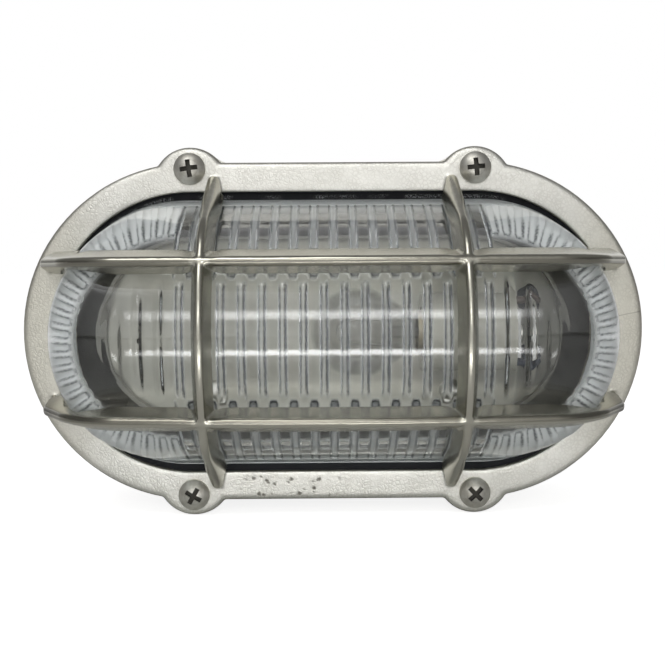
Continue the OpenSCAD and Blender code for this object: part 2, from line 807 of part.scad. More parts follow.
module block_screws() color("#c2c1bd") on_wall() for (j = [-1, 1])
    translate([block_x, j * way_pitch / 2, floor_t + block_h]) difference() {
        pan_screw(small_d, small_head_d, small_head_h, block_h + floor_t - 2 * cut);
        head_slot(small_head_d, small_head_h, small_head_h / 2.4, small_head_h / 2.4);
    }

// Earth screw and ring lug on the base's own boss
lug_sheet = 1;
lug_z = floor_t + earth_boss;
tap_earth = 6;
barrel_x = tray_head_d / 2 + fit_gap + lug_sheet - earth_x;
barrel_l = 5;
barrel_r = wire_d / 2 + fit_gap + lug_sheet / 2;

module earth_lug() color("#c9b27a") on_wall() difference() {
    union() {
        translate([-earth_x, 0, lug_z]) cylinder(lug_sheet, d = tray_head_d);
        translate([-earth_x, -barrel_r, lug_z]) cube([barrel_x + earth_x + lug_sheet, 2 * barrel_r, lug_sheet]);
        translate([barrel_x, 0, way_z]) rotate([0, 90, 0]) cylinder(barrel_l, r = barrel_r);
    }
    translate([-earth_x, 0, lug_z - cut]) cylinder(lug_sheet + 2 * cut, d = tray_screw_d + 2 * close_gap);
    translate([barrel_x + lug_sheet, 0, way_z]) rotate([0, 90, 0]) cylinder(barrel_l, d = wire_d + 2 * fit_gap);
}

module earth_screw() color("#c2c1bd") on_wall() translate([-earth_x, 0, lug_z + lug_sheet]) difference() {
    pan_screw(tray_screw_d, tray_head_d, tray_head_h, tap_earth - cut);
    head_slot(tray_head_d, tray_head_h, tray_head_h / 2.4, tray_head_h / 2.4);
}

// Rubber grommets: one in the rear cable entry, two in the tray
module cable_grommet() color("#242526") on_wall() translate([-entry_x, 0, 0]) difference() {
    union() {
        translate([0, 0, close_gap]) cylinder(floor_t - close_gap, d = entry_d - 2 * close_gap);
        translate([0, 0, floor_t]) cylinder(entry_collar, d = entry_d + 2 * entry_collar);
    }
    translate([0, 0, -cut]) cylinder(floor_t + entry_collar + 2 * cut, d = entry_bore);
}

grommet_lip = 1;
module tray_grommets() color("#242526") on_wall() for (j = [-1, 1])
    translate([wire_x, j * wire_y, 0]) difference() {
        union() {
            translate([0, 0, tray_z - grommet_lip]) cylinder(tray_t + 2 * grommet_lip, d = grommet_d);
            translate([0, 0, tray_z - grommet_lip]) cylinder(grommet_lip, d = grommet_d + 2 * grommet_lip);
            translate([0, 0, tray_top]) cylinder(grommet_lip, d = grommet_d + 2 * grommet_lip);
        }
        translate([0, 0, tray_z - 2 * grommet_lip])
            cylinder(tray_t + 4 * grommet_lip, d = wire_d + 2 * fit_gap);
    }

// Insulated wires from the lampholder down to the terminal block
module holder_wire(j) translate([0, j * wire_y, 0]) {
    translate([holder_x - holder_floor / 2, 0, lamp_z]) rotate([0, 90, 0])
        cylinder(holder_floor / 2 + wire_run, d = wire_d);
    translate([holder_x + wire_run, 0, lamp_z - wire_bend]) rotate([90, 0, 0])
        rotate_extrude(angle = 90) translate([wire_bend, 0]) circle(d = wire_d);
    translate([wire_x, 0, way_z + wire_bend]) cylinder(lamp_z - way_z - 2 * wire_bend, d = wire_d);
    translate([holder_x + wire_run, 0, way_z + wire_bend]) rotate([90, 0, 0]) rotate(-90)
        rotate_extrude(angle = 90) translate([wire_bend, 0]) circle(d = wire_d);
    translate([block_x + wire_d, 0, way_z]) rotate([0, 90, 0])
        cylinder(holder_x + wire_run - block_x - wire_d, d = wire_d);
}

module live_wire() color("#6d4326") on_wall() holder_wire(1);

module neutral_wire() color("#2f4f9a") on_wall() holder_wire(-1);

module earth_wire() color("#7f9a3a") on_wall()
    translate([barrel_x + lug_sheet + fit_gap, 0, way_z]) rotate([0, 90, 0])
        cylinder(block_x - wire_d - barrel_x - lug_sheet - fit_gap, d = wire_d);

base();
guard();
glass();
front_gasket();
rear_gasket();
guard_screws();
reflector_tray();
tray_screws();
lampholder_bracket();
bracket_rivets();
holder_screws();
lampholder_body();
lampholder_shell();
lampholder_contact();
lamp_cap();
lamp_insulator();
lamp_contact();
lamp_envelope();
lamp_stem();
lamp_filament();
terminal_block();
terminal_inserts();
terminal_screws();
block_screws();
earth_lug();
earth_screw();
cable_grommet();
tray_grommets();
live_wire();
neutral_wire();
earth_wire();
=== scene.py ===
import math

import bmesh
import bpy
import numpy as np
from mathutils import Matrix, Vector


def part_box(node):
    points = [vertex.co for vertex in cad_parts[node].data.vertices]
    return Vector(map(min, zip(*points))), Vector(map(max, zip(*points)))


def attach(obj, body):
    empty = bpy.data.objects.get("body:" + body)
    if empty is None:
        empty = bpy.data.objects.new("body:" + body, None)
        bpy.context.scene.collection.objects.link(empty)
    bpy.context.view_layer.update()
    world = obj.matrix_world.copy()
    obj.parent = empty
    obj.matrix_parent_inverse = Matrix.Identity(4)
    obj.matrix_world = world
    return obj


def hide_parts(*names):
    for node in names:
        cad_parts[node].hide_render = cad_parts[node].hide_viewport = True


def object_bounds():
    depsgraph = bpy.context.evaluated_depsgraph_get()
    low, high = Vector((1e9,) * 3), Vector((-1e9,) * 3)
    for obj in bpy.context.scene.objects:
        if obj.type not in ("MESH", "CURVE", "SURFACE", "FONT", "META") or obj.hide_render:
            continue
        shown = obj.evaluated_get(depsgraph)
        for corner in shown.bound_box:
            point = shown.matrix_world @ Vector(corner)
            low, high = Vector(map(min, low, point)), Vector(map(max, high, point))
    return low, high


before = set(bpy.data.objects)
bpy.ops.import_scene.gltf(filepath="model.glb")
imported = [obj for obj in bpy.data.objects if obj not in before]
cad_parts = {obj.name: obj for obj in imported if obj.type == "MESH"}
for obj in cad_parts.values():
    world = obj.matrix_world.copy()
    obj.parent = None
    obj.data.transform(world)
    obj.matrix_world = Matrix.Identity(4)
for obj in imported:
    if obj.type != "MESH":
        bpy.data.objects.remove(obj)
solid_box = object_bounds()
MM = 0.001


# Base casting: the box behind the flange, sand cast in brass and nickel plated. Its outer edges are
# broken by the foundry, and its skin keeps the fine pebbles of the mould. It screws flat to the wall.
guard_low, guard_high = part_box("guard")
flange_back = -guard_high.y
flange_front = flange_back + 6 * MM
flange_end_r = 54.5 * MM
end_centre = guard_high.x - flange_end_r
cavity_r = 49 * MM
level_z = 22.8 * MM
upright_x = 37.7 * MM
crack_cell = 1.2 * MM
pit_cell = 2.3 * MM
pit_x = -14 * MM
pit_z = -50 * MM
hair_x = 93 * MM
hair_z = 4.9 * MM
hair_slope = 0.2


class Wire:
    """One output of a node tree. Arithmetic on wires adds Math nodes."""

    def __init__(self, tree, socket=None):
        self.tree = tree
        self.socket = socket

    def node(self, kind, out=0, settings=(), **sockets):
        made = self.tree.nodes.new("ShaderNode" + kind)
        for key, value in dict(settings).items():
            setattr(made, key, value)
        for key, value in sockets.items():
            socket = next(s for s in made.inputs if key in (s.identifier, s.name.replace(" ", "_")))
            if isinstance(value, Wire):
                self.tree.links.new(value.socket, socket)
            else:
                socket.default_value = value
        return Wire(self.tree, made.outputs[out] if len(made.outputs) else None)

    def math(self, operation, first, second):
        return self.node("Math", settings={"operation": operation}, Value=first, Value_001=second)

    def __add__(self, other):
        return self.math("ADD", self, other)

    def __radd__(self, other):
        return self.math("ADD", other, self)

    def __sub__(self, other):
        return self.math("SUBTRACT", self, other)

    def __rsub__(self, other):
        return self.math("SUBTRACT", other, self)

    def __mul__(self, other):
        return self.math("MULTIPLY", self, other)

    def __rmul__(self, other):
        return self.math("MULTIPLY", other, self)

    def __truediv__(self, other):
        return self.math("DIVIDE", self, other)

    def top(self, other):
        """The larger of two values."""
        return self.math("MAXIMUM", self, other)

    def size(self):
        """The value without its sign."""
        return self.math("ABSOLUTE", self, 0.0)

    def power(self, exponent):
        return self.math("POWER", self, exponent)

    def step(self, low, high):
        """A smooth rise from nothing at low to one at high."""
        return self.node("MapRange", settings={"interpolation_type": "SMOOTHSTEP"}, Value=self,
                         From_Min=low, From_Max=high, To_Min=0.0, To_Max=1.0)

    def near(self, centre, half):
        """One in the inner half of a band, falling to nothing at its edges."""
        return 1.0 - ((self - centre) / half).size().step(0.5, 1.0)

    def mix(self, first, second):
        """The first colour where this value is nothing, the second where it is one."""
        return self.node("Mix", out=2, settings={"data_type": "RGBA"}, Factor_Float=self,
                         A_Color=first, B_Color=second)

    def noise(self, grain, detail=2.0, rough=0.5):
        return self.node("TexNoise", Vector=self, Scale=1 / grain, Detail=detail, Roughness=rough)

    def cells(self, grain, feature="F1"):
        return self.node("TexVoronoi", settings={"feature": feature}, Vector=self, Scale=1 / grain)

    def axes(self):
        split = self.node("SeparateXYZ", Vector=self)
        return [Wire(self.tree, out) for out in split.socket.node.outputs]

    def bent(self, grain, reach):
        """A place that drifts by a noise, so that a pattern on it loses its straight lines."""
        drift = self.node("TexNoise", out="Color", Vector=self, Scale=1 / grain, Detail=2.0)
        return self.node("VectorMath", settings={"operation": "MULTIPLY_ADD"}, Vector=drift,
                         Vector_001=(reach, reach, reach), Vector_002=self)

    def bump(self, depth):
        return self.node("Bump", out="Normal", Height=self, Distance=depth, Strength=1.0)


def tone(red, green, blue):
    return (red, green, blue, 1.0)


def tinted(shade, *layers):
    """A colour with others laid over it in turn, each by its mask."""
    for mask, over in layers:
        shade = mask.mix(shade, over)
    return shade


def new_finish(name):
    material = bpy.data.materials.new(name)
    material.use_nodes = True
    material.node_tree.nodes.clear()
    wire = Wire(material.node_tree)
    return material, wire, wire.node("TexCoord", out="Object")


def close_finish(wire, shader):
    wire.node("OutputMaterial", Surface=shader)


def from_middle(x, z):
    """Distance from the straight line between the centres of the oval's two ends."""
    over = (x.size() - end_centre).top(0.0)
    return (over * over + z * z).power(0.5)


def cast_nickel(name):
    material, wire, place = new_finish(name)
    x, y, z = place.axes()
    out = 0.0 - y
    bars = out.step(flange_front + 0.6 * MM, flange_front + 3 * MM)
    plain = 1.0 - bars
    on_front = out.step(flange_front - 1.5 * MM, flange_front - 0.8 * MM) * plain
    # Painted shade: the walls inside the cavity are darkened where shade falls in the recess.
    cavity_shade = 1.0 - from_middle(x, z).step(cavity_r - 0.4 * MM, cavity_r + 0.4 * MM)
    cavity_shade = cavity_shade * out.step(0.4 * MM, 0.8 * MM)
    cavity_shade = cavity_shade * (1.0 - out.step(flange_back - 0.8 * MM, flange_back - 0.2 * MM))
    ends = x.size().step(70 * MM, 96 * MM)
    # Painted shade: faces turned away from the front, the outer edges and lower sides, are darkened by their
    # normal.
    facing_front = wire.node("NewGeometry", out="Normal").axes()[1].size()
    side_face_shade = (1.0 - facing_front.step(0.35, 0.9)) * plain

    # Painted shade: a painted dark reflection down the middle of each level bar's nose, so that only its
    # edges keep a thin highlight.
    from_bar = z.size() - level_z
    nose_shade = from_bar.step(-1.6 * MM, -1.1 * MM) * (1.0 - from_bar.step(0.2 * MM, 0.8 * MM)) * bars
    nose_shade = nose_shade * (x.size() - upright_x).size().step(2 * MM, 3.5 * MM)
    # Painted shade on the blunt tips of the lower bars.
    low_tip_shade = bars * x.size().step(83 * MM, 88 * MM) * (0.0 - z).step(0.0, 5 * MM)

    wide = place.noise(22 * MM, 3.0)
    patch = place.noise(5 * MM, 3.0, 0.6)
    grain = place.noise(0.4 * MM, 3.0, 0.6)
    crack = 1.0 - place.bent(1.8 * MM, 1.2 * MM).cells(crack_cell, "DISTANCE_TO_EDGE").step(0.0, 0.24)
    crack = crack * (0.4 + 0.6 * patch.step(0.35, 0.6)) * plain
    worn = crack * 0.22 + grain.step(0.5, 0.75) * 0.06 * plain
    pits = 1.0 - place.bent(1.5 * MM, 1.4 * MM).cells(pit_cell).step(0.12, 0.42)
    pits = pits * x.near(pit_x, 19 * MM) * z.near(pit_z, 5 * MM) * on_front * patch.step(0.42, 0.5)
    from_hair = (z - hair_z - (x - hair_x) * hair_slope).size()
    hair = (1.0 - from_hair.step(0.05 * MM, 0.22 * MM)) * on_front
    hair = hair * x.step(hair_x - 5 * MM, hair_x - 3 * MM)

    plate = wide.step(0.3, 0.7).mix(tone(0.80, 0.79, 0.735), tone(0.88, 0.87, 0.815))
    plate = tinted(plate,
                   (ends * 0.7, tone(0.68, 0.655, 0.56)),
                   (bars * 0.9, tone(0.46, 0.445, 0.375)),
                   (nose_shade * 0.75, tone(0.20, 0.19, 0.155)),
                   (low_tip_shade * 0.85, tone(0.12, 0.115, 0.095)),
                   (worn, tone(0.38, 0.36, 0.30)),
                   # painted shade on the side faces, laid in one tone with the hairline crack, a real mark
                   ((side_face_shade * 0.7).top(hair * 0.55), tone(0.30, 0.28, 0.23)),
                   (pits * 0.7, tone(0.13, 0.115, 0.085)),
                   (cavity_shade * 0.9, tone(0.11, 0.11, 0.10)))
    rough = 0.38 + (0.1 * patch + 0.08 * grain) * (1.0 - 0.8 * bars)
    rough = rough - 0.14 * bars + 0.25 * pits + 0.2 * cavity_shade
    height = (grain * 0.4 - crack * 0.6 + patch * 0.5) * plain - pits * 2.5
    close_finish(wire, wire.node("BsdfPrincipled", Base_Color=plate, Metallic=1.0, Roughness=rough,
                                 Normal=height.bump(0.06 * MM)))
    return material


def merged_copy(node):
    copy = bmesh.new()
    copy.from_mesh(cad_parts[node].data)
    bmesh.ops.remove_doubles(copy, verts=copy.verts, dist=0.002 * MM)
    return copy


def new_piece(name, shape, material, node=None, crease=None):
    mesh = bpy.data.meshes.new(name)
    shape.to_mesh(mesh)
    shape.free()
    mesh.shade_smooth()
    if crease:
        mesh.set_sharp_from_angle(angle=math.radians(crease))
    piece = bpy.data.objects.new(name, mesh)
    bpy.context.scene.collection.objects.link(piece)
    mesh.materials.append(material)
    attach(piece, "root")
    if node:
        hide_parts(node)
    return piece


nickel = cast_nickel("cast_nickel")
edge_break = 0.9 * MM
outer_wall = flange_end_r - 1.5 * MM
flat_angle = math.radians(0.4)
corner_angle = math.radians(35)
base_shape = merged_copy("base")
bmesh.ops.dissolve_limit(base_shape, angle_limit=flat_angle, verts=base_shape.verts,
                         edges=base_shape.edges)
outer_edges = []
for edge in base_shape.edges:
    spot = (edge.verts[0].co + edge.verts[1].co) / 2
    reach = math.hypot(max(abs(spot.x) - end_centre, 0.0), spot.z)
    if len(edge.link_faces) == 2 and reach > outer_wall and -spot.y < flange_back - MM:
        if edge.calc_face_angle_signed() > corner_angle:
            outer_edges.append(edge)
bmesh.ops.bevel(base_shape, geom=outer_edges, offset=edge_break, segments=3, profile=0.5,
                affect="EDGES", clamp_overlap=True, material=-1)
new_piece("base_casting", base_shape, nickel, "base", crease=32)


# Rubber pieces: the cable grommet in the back, two grommets in the tray and the two flat gaskets that
# hold the glass. Moulded black rubber, dull, with a little pale dust along the upper edge of the front.
dusty_r = 42.7 * MM


def soft_rubber(name):
    material, wire, place = new_finish(name)
    x, _, z = place.axes()
    past = from_middle(x, z) - dusty_r
    ledge = past.step(0.0, 0.4 * MM) * (1.0 - past.step(1.1 * MM, 1.7 * MM))
    specks = place.noise(0.5 * MM, 4.0, 0.7).step(0.47, 0.62) * place.noise(9 * MM).step(0.4, 0.55)
    dust = ledge * z.step(0.0, 40 * MM) * specks
    wave = place.noise(3 * MM, 3.0)
    shade = (dust * 0.85).mix(tone(0.014, 0.015, 0.018), tone(0.42, 0.43, 0.44))
    close_finish(wire, wire.node("BsdfPrincipled", Base_Color=shade, Roughness=0.6 + 0.2 * wave,
                                 Specular_IOR_Level=0.25, Normal=(wave + dust * 0.4).bump(0.12 * MM)))
    return material


def dress(material, *nodes):
    for node in nodes:
        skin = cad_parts[node].data.materials
        skin.clear()
        skin.append(material)


dress(soft_rubber("black_rubber"), "cable_grommet", "tray_grommets", "front_gasket", "rear_gasket")


# Terminal block and wires: a moulded white block with brass inserts, zinc-plated screws, a brass earth
# lug on its boss, and three insulated wires. All sit in the base under the tray.
def moulded(name, light, dark, gloss, grain):
    material, wire, place = new_finish(name)
    cloud = place.noise(grain, 3.0, 0.55)
    fine = place.noise(grain / 12, 2.0)
    close_finish(wire, wire.node("BsdfPrincipled", Base_Color=cloud.step(0.3, 0.7).mix(dark, light),
                                 Roughness=gloss + 0.12 * fine, Normal=fine.bump(0.02 * MM)))
    return material


def turned_metal(name, light, dark, gloss):
    material, wire, place = new_finish(name)
    cloud = place.noise(4 * MM, 3.0, 0.6)
    scratch = place.node("Mapping", Vector=place, Scale=(1.0, 6.0, 1.0)).noise(0.5 * MM, 2.0)
    close_finish(wire, wire.node("BsdfPrincipled", Base_Color=cloud.step(0.35, 0.7).mix(light, dark),
                                 Metallic=1.0, Roughness=gloss + 0.14 * cloud + 0.08 * scratch,
                                 Normal=scratch.bump(0.01 * MM)))
    return material


brass = turned_metal("contact_brass", tone(0.42, 0.38, 0.29), tone(0.34, 0.30, 0.22), 0.36)
zinc = turned_metal("zinc_plate", tone(0.40, 0.40, 0.39), tone(0.30, 0.30, 0.29), 0.34)
white_moulding = moulded("white_moulding", tone(0.84, 0.84, 0.80), tone(0.76, 0.75, 0.69), 0.4, 6 * MM)
brown_sleeve = moulded("brown_sleeve", tone(0.085, 0.06, 0.045), tone(0.06, 0.042, 0.03), 0.38, 5 * MM)
blue_sleeve = moulded("blue_sleeve", tone(0.035, 0.045, 0.07), tone(0.025, 0.033, 0.052), 0.38, 5 * MM)
green_sleeve = moulded("green_sleeve", tone(0.30, 0.48, 0.08), tone(0.10, 0.30, 0.06), 0.38, 4 * MM)
dress(white_moulding, "terminal_block")
dress(brown_sleeve, "live_wire")
dress(blue_sleeve, "neutral_wire")
dress(green_sleeve, "earth_wire")
dress(brass, "terminal_inserts", "earth_lug", "earth_screw")
dress(zinc, "terminal_screws", "block_screws")


# Reflector tray: pressed sheet with a turned-up rim, stove enamelled in pale cream. Four screws hold it
# on the pillars of the base. Its rim and its right end, which show through the glass, carry painted shade.
tray_rim_r = 30 * MM
end_shade_x = 60 * MM


def stove_enamel(name):
    material, wire, place = new_finish(name)
    x, _, z = place.axes()
    cloud = place.noise(18 * MM, 3.0)
    specks = place.noise(0.8 * MM, 3.0, 0.6).step(0.66, 0.74)
    peel = place.noise(1.6 * MM, 2.0)
    # Painted shade on the rim, dulling the highlight it would catch.
    rim = from_middle(x, z).step(tray_rim_r, tray_rim_r + 2 * MM)
    # Painted shade at the right end, by the lampholder.
    end_shade = (x + cloud * 6 * MM).step(end_shade_x, end_shade_x + 9 * MM)
    shade = tinted(cloud.step(0.3, 0.7).mix(tone(0.46, 0.44, 0.385), tone(0.58, 0.56, 0.505)),
                   (specks * 0.5, tone(0.42, 0.38, 0.30)),
                   (rim * 0.75, tone(0.22, 0.21, 0.19)),
                   (end_shade * 0.85, tone(0.13, 0.125, 0.105)))
    close_finish(wire, wire.node("BsdfPrincipled", Base_Color=shade, Roughness=0.26 + 0.1 * cloud,
                                 Normal=peel.bump(0.05 * MM)))
    return material


dress(stove_enamel("cream_enamel"), "reflector_tray")
bright_nickel = turned_metal("bright_nickel", tone(0.70, 0.69, 0.65), tone(0.52, 0.50, 0.45), 0.2)
dress(bright_nickel, "tray_screws", "bracket_rivets", "holder_screws")


# Lampholder: glazed porcelain body with a rolled brass shell and centre contact, on a bent zinc-plated
# bracket that two rivets hold to the tray.
porcelain = moulded("glazed_porcelain", tone(0.50, 0.48, 0.425), tone(0.42, 0.40, 0.35), 0.2, 9 * MM)
dress(porcelain, "lampholder_body")
dress(brass, "lampholder_shell", "lampholder_contact")
dress(zinc, "lampholder_bracket")


# Lamp: a clear blown bulb on a brass screw cap, with a glass stem and its filament between two leads.
# It screws into the holder from the left and points along the tray.
def ray_kinds(wire, *kinds):
    path = wire.node("LightPath").socket.node.outputs
    return [Wire(wire.tree, path[kind]) for kind in kinds]


def clear_glass(name, shade, wave, gloss, rimmed=False, thin=0.0):
    """Clear glass. A thin wall bends little, and a rimmed one carries painted light where its marks say so: a
    painted glow and painted dark reflections along its ribs.
    """
    material, wire, place = new_finish(name)
    swell = place.noise(9 * MM, 2.0)
    seeds = place.noise(1.2 * MM, 2.0)
    body = swell.step(0.3, 0.7).mix(shade, tone(1.0, 1.0, 1.0))
    rough = gloss + gloss * seeds if gloss else 0.0
    glass = wire.node("BsdfPrincipled", Base_Color=body, Roughness=rough, IOR=1.5,
                      Transmission_Weight=1.0, Normal=(swell + seeds * 0.08).bump(wave))
    if rimmed:
        # Painted light: a diffuse shader laid over the glass gives the rim a painted glow and draws painted
        # dark reflections along the rib edges.
        painted_glow = wire.node("Attribute", out="Fac", settings={"attribute_name": "painted_glow"})
        line = wire.node("Attribute", out="Fac", settings={"attribute_name": "rib_line"})
        line = line * (0.65 + 0.35 * place.noise(0.9 * MM, 3.0, 0.6).step(0.38, 0.6))
        painted_rim_light = line.step(0.05, 0.6).mix(tone(0.95, 0.97, 0.98), tone(0.05, 0.06, 0.075))
        rim = wire.node("BsdfPrincipled", Base_Color=painted_rim_light, Roughness=0.3 + 0.1 * seeds)
        glass = wire.node("MixShader", Fac=(painted_glow * 0.85).top(line), Shader=glass, Shader_001=rim)
    shadow_ray, bounce_ray = ray_kinds(wire, "Is Shadow Ray", "Is Diffuse Ray")
    passed = tone(0.99, 0.99, 0.99) if thin else tone(0.90, 0.92, 0.91)
    clear = wire.node("BsdfTransparent", Color=passed)
    straight_on = shadow_ray.top(bounce_ray).top(thin)
    close_finish(wire, wire.node("MixShader", Fac=straight_on, Shader=glass, Shader_001=clear))
    return material


lamp_glass = clear_glass("lamp_glass", tone(0.97, 0.98, 0.98), 0.02 * MM, 0.0, thin=0.8)
drawn_wire = turned_metal("drawn_wire", tone(0.36, 0.35, 0.33), tone(0.24, 0.23, 0.21), 0.35)
black_vitrite = moulded("black_vitrite", tone(0.035, 0.033, 0.04), tone(0.02, 0.02, 0.022), 0.18, 3 * MM)
dress(lamp_glass, "lamp_envelope", "lamp_stem")
dress(brass, "lamp_cap")
dress(zinc, "lamp_contact")
dress(drawn_wire, "lamp_filament")
dress(black_vitrite, "lamp_insulator")


# Glass dome: one pressing of clear glass, a round vault with steep round ends. Outside it is smooth, and
# inside ribs run in from the rim and others lie straight under the crown. Its foot sits between gaskets.
# Painted light on the inner wall gives the rim and foot a painted glow and the ribs painted dark reflections.
glass_low, glass_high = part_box("glass")
foot_back = -glass_high.y
crown_height = -glass_low.y - flange_front
foot_r = glass_high.z
collar_r = 42.4 * MM
glass_run = end_centre + 1.5 * MM
collar_inner_r = collar_r - 3.3 * MM
foot_front = foot_back + 3.5 * MM
wall = 3.5 * MM
parting = 0.15 * MM
end_foot = collar_r - parting
side_foot = end_foot - parting
side_lean = math.radians(24)
end_lean = math.radians(8)
end_round = 19 * MM
vault_r = side_foot * math.cos(side_lean) - crown_height * math.sin(side_lean)
vault_r = vault_r / (1 - math.sin(side_lean))
end_up = crown_height + 0.4 * MM - end_round
end_in = end_foot - (end_round + end_up * math.sin(end_lean)) / math.cos(end_lean)
crown_rise = 0.35
corner_blend = 3 * MM
blend_height = 8 * MM
tiny = 1e-9


def leaning(reach, foot, lean, across, up, round_r, inset):
    """Height of a section that leans in from its foot and runs into a circle."""
    r = round_r - inset
    from_circle = reach - across
    on_circle = up + np.sqrt(np.maximum(r * r - np.maximum(from_circle, 0.0) ** 2, 0.0))
    on_circle = on_circle + crown_rise * np.maximum(-from_circle, 0.0)
    on_side = (foot - inset / math.cos(lean) - reach) / math.tan(lean)
    return np.where(from_circle > r * math.cos(lean), on_side, on_circle)


def dome_height(x, y, inset):
    beyond = np.maximum(np.abs(x) - glass_run, 0.0)
    side = leaning(np.abs(y), side_foot, side_lean, 0.0, crown_height - vault_r, vault_r, inset)
    end = leaning(np.hypot(beyond, y), end_foot, end_lean, end_in, end_up, end_round, inset)
    lower = np.minimum(side, end)
    soft = corner_blend * np.clip(lower / blend_height, 0.02, 1.0)
    return lower - np.maximum(soft - np.abs(side - end), 0.0) ** 2 / (4 * soft)


rib_pitch = 6 * MM
rib_half = 1.2 * MM
rib_height = 1.2 * MM
soft_rib_half = 1.7 * MM
side_tip = 17.5 * MM
end_tip = 29 * MM
end_ribs = 26
fan_step = math.pi / end_ribs
fan_half = math.radians(2.15)
rim_zone = 33 * MM
rib_glint = 0.35


def rib_round(distance, half):
    return np.sqrt(np.clip(1 - (distance / half) ** 2, 0.0, 1.0))


def ease(value, low, high):
    """A smooth rise from nothing at low to one at high."""
    share = np.clip((value - low) / (high - low), 0.0, 1.0)
    return share * share * (3 - 2 * share)


def from_comb(value, pitch, shift):
    """Distance to the nearest of many even places."""
    return np.abs((value / pitch - shift + 0.5) % 1 - 0.5) * pitch


def peak(value, half):
    """One at nothing, falling in a straight line on both sides."""
    return np.clip(1 - np.abs(value) / half, 0.0, 1.0)


def rib_share(x, y):
    """How much of its full height the rib has at a place."""
    beyond = np.maximum(np.abs(x) - glass_run, 0.0)
    reach = np.hypot(beyond, y)
    angle = np.arctan2(np.abs(y), np.maximum(beyond, tiny))
    from_crown_rib = from_comb(x, rib_pitch, 0.5)
    under_crown = 1 - ease(reach, side_tip - 6 * MM, side_tip + 1.5 * MM)
    crown = rib_round(from_crown_rib, rib_half) * under_crown
    soft_crown = 0.7 * ease(soft_rib_half - from_crown_rib, 0.0, soft_rib_half) * under_crown
    side = rib_round(from_comb(x, rib_pitch, 0.0), rib_half) * ease(reach, side_tip - MM, side_tip + 4 * MM)
    fan = rib_round(from_comb(angle, fan_step, 0.5), fan_half) * ease(reach, end_tip - MM, end_tip + 3.5 * MM)
    in_end = np.abs(x) > glass_run
    return np.maximum(np.where(in_end, soft_crown, crown), np.where(in_end, fan, side))


inner_rows = 84
outer_rows = 18
fine_rows = 700
crowding = 2.2
spread = np.array([-1, -0.8, -0.46, 0, 0.46, 0.8, 1])
half_pitches = int(glass_run / rib_pitch * 2)
side_x = np.arange(-half_pitches, half_pitches + 1)[:, None] * rib_pitch / 2 + spread * rib_half
side_x = side_x.ravel()
side_x = side_x[np.abs(side_x) < glass_run - 0.2 * MM]
side_x = np.concatenate([[-glass_run], side_x, [glass_run]]) / glass_run
fan_centres = ((np.arange(end_ribs) + 0.5) * fan_step - math.pi / 2)[:, None]
turn = np.concatenate([fan_centres + spread * fan_half, fan_centres + fan_step / 2], axis=1).ravel()[:-1]
run_share = np.concatenate([side_x, np.ones(turn.size), side_x[::-1], -np.ones(turn.size)])
out_x = np.concatenate([0 * side_x, np.cos(turn), 0 * side_x, -np.cos(turn)])
out_y = np.concatenate([0 * side_x - 1, np.sin(turn), 0 * side_x + 1, -np.sin(turn)])


def oval_row(r, run, out):
    return np.stack([run_share * run + out_x * r, np.full(run_share.size, -out), out_y * r], axis=1)


def along_run(reach):
    return run_share * glass_run + out_x * reach


def even_rows(rows, inset):
    """Reach and height of each column from the foot up to the crown, spaced evenly on its section."""
    end_at = end_foot - inset / math.cos(end_lean)
    side_at = (side_foot - inset / math.cos(side_lean)) / np.maximum(np.abs(out_y), tiny)
    reach = (1 - np.linspace(0, 1, fine_rows) ** crowding)[:, None] * np.minimum(end_at, side_at)[None, :]
    height = np.maximum(dome_height(along_run(reach), out_y * reach, inset), 0.0)
    steps = np.hypot(np.diff(reach, axis=0), np.diff(height, axis=0))
    gone = np.concatenate([np.zeros((1, reach.shape[1])), np.cumsum(steps, axis=0)])
    places = np.linspace(0, 1, rows)[:, None] * gone[-1][None, :]
    even_r = np.empty((rows, reach.shape[1]))
    even_h = np.empty_like(even_r)
    for column in range(reach.shape[1]):
        even_r[:, column] = np.interp(places[:, column], gone[:, column], reach[:, column])
        even_h[:, column] = np.interp(places[:, column], gone[:, column], height[:, column])
    return even_r, even_h


def rib_marks(reach):
    """Shares of painted glow and of painted dark reflection on the inner wall."""
    x = along_run(reach)
    straight = out_x == 0
    fan_across = from_comb(np.arctan2(np.abs(out_y), np.abs(out_x)), fan_step, 0.5) / fan_half
    across = np.where(straight, from_comb(x, rib_pitch, 0.0) / rib_half, fan_across)
    start = np.where(straight, side_tip, end_tip)
    # Painted glints along the rib cores, and a painted glow over the rim zone and the fan ends.
    core = np.clip((1.05 - across) / 0.3, 0.0, 1.0) * ease(reach, start - 0.3 * MM, start + 1.5 * MM)
    side_zone = 0.55 * ease(reach, rim_zone, rim_zone + 5 * MM)
    end_zone = ease(reach, start - 2 * MM, start + 1.5 * MM)
    beside = peak(across - 0.9, 0.5) * ease(reach, start - 0.3 * MM, start + 1.2 * MM)
    beside = beside * np.where(straight, 1.0, 1 - 0.8 * ease(reach, rim_zone, rim_zone + 4 * MM))
    tip = peak(reach - start - 0.3 * MM, MM) * (across < 0.95)
    crown_across = from_comb(x, rib_pitch, 0.5) / rib_half
    under_crown = straight * (1 - ease(reach, side_tip - 3 * MM, side_tip))
    on_crown = np.clip(1.15 - np.abs(crown_across - 0.68) / 0.55, 0.0, 1.0) * under_crown
    right_edge = (x / rib_pitch) % 1 > 0.5
    painted_rim_light = np.maximum(np.where(straight, side_zone, end_zone), rib_glint * core)
    painted_rim_light = np.maximum(painted_rim_light, rib_glint * peak(crown_across, 0.46) * under_crown)
    # Painted dark reflections beside the ribs and at their tips, darker on the right edge of each crown rib.
    dark = np.where(straight, 0.8, 0.6) * np.maximum(beside, tip)
    return painted_rim_light, np.maximum(dark, np.where(right_edge, 1.0, 0.6) * on_crown)


